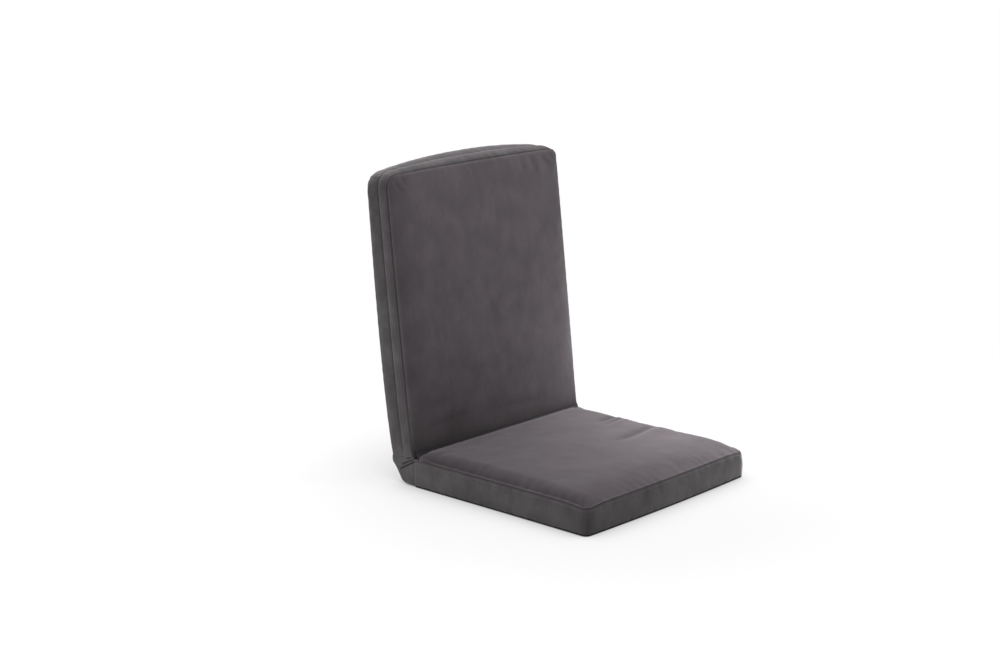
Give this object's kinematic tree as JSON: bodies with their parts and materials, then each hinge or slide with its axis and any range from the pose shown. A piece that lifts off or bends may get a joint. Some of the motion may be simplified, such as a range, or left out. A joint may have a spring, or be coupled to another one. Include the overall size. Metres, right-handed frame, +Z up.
{
  "type": "folding floor chair",
  "caption": "Legless folding chair bed: a boxed seat pad and a taller boxed back pad on hidden steel frames, joined by ratchet hinges so that the back folds shut or lies flat.",
  "frame": {"origin": "middle of the seat's underside, on the floor", "axes": "+Z up, -Y the way the chair faces, +X to the right as seen from the front, as left and right in the node names are"},
  "size_m": [0.5036, 0.5742, 0.6396],
  "materials": {
    "grey_velvet": "short dark grey velvet pile",
    "cream_foam": "open-cell foam",
    "black_steel": "satin black",
    "zinc_steel": "zinc plated",
    "black_webbing": "woven elastic webbing",
    "black_base_fabric": "matt non-slip fabric"
  },
  "bodies": {
    "seat": {"seat_top_panel": "grey_velvet", "seat_boxing": "grey_velvet", "seat_base_panel": "black_base_fabric", "seat_upper_foam": "cream_foam", "seat_lower_foam": "cream_foam", "seat_frame_tube": "black_steel", "seat_cross_tube": "black_steel", "seat_strap_1": "black_webbing", "seat_strap_2": "black_webbing", "seat_strap_3": "black_webbing", "hinge_cover": "grey_velvet", "hinge_gusset_left": "grey_velvet", "hinge_gusset_right": "grey_velvet", "crease_strip": "grey_velvet", "hinge_left_seat_arm": "zinc_steel", "hinge_left_seat_rivet_1": "black_steel", "hinge_left_seat_rivet_2": "black_steel", "hinge_right_seat_arm": "zinc_steel", "hinge_right_seat_rivet_1": "black_steel", "hinge_right_seat_rivet_2": "black_steel"},
    "backrest": {"back_front_panel": "grey_velvet", "back_front_boxing": "grey_velvet", "back_rear_boxing": "grey_velvet", "back_rear_panel": "grey_velvet", "back_front_foam": "cream_foam", "back_rear_foam": "cream_foam", "back_frame_tube": "black_steel", "back_cross_tube": "black_steel", "back_strap_1": "black_webbing", "back_strap_2": "black_webbing", "back_strap_3": "black_webbing", "back_strap_4": "black_webbing", "hinge_left_inner_cheek": "zinc_steel", "hinge_left_outer_cheek": "zinc_steel", "hinge_left_pawl_spring": "black_steel", "hinge_left_pawl_pin": "black_steel", "hinge_left_pivot_rivet": "black_steel", "hinge_left_back_rivet_1": "black_steel", "hinge_left_back_rivet_2": "black_steel", "hinge_right_inner_cheek": "zinc_steel", "hinge_right_outer_cheek": "zinc_steel", "hinge_right_pawl_spring": "black_steel", "hinge_right_pawl_pin": "black_steel", "hinge_right_pivot_rivet": "black_steel", "hinge_right_back_rivet_1": "black_steel", "hinge_right_back_rivet_2": "black_steel"},
    "left_pawl": {"hinge_left_pawl": "black_steel"},
    "right_pawl": {"hinge_right_pawl": "black_steel"}
  },
  "joints": [
    {"name": "backrest_fold", "type": "hinge", "parent": "seat", "child": "backrest", "pos_m": [0, 0.2225, 0.06], "axis": [-1, 0, 0], "range_deg": [-83.3, 83.3], "deforming": ["hinge_cover", "hinge_gusset_left", "hinge_gusset_right", "crease_strip"]},
    {"name": "left_pawl_rock", "type": "hinge", "parent": "backrest", "child": "left_pawl", "pos_m": [-0.2255, 0.25162, 0.08074], "axis": [-1, 0, 0], "range_deg": [0, 10.5]},
    {"name": "right_pawl_rock", "type": "hinge", "parent": "backrest", "child": "right_pawl", "pos_m": [0.2255, 0.25162, 0.08074], "axis": [-1, 0, 0], "range_deg": [0, 10.5]}
  ],
  "couplings": [
    {"joint": "right_pawl_rock", "follows": "left_pawl_rock", "ratio": 1}
  ]
}
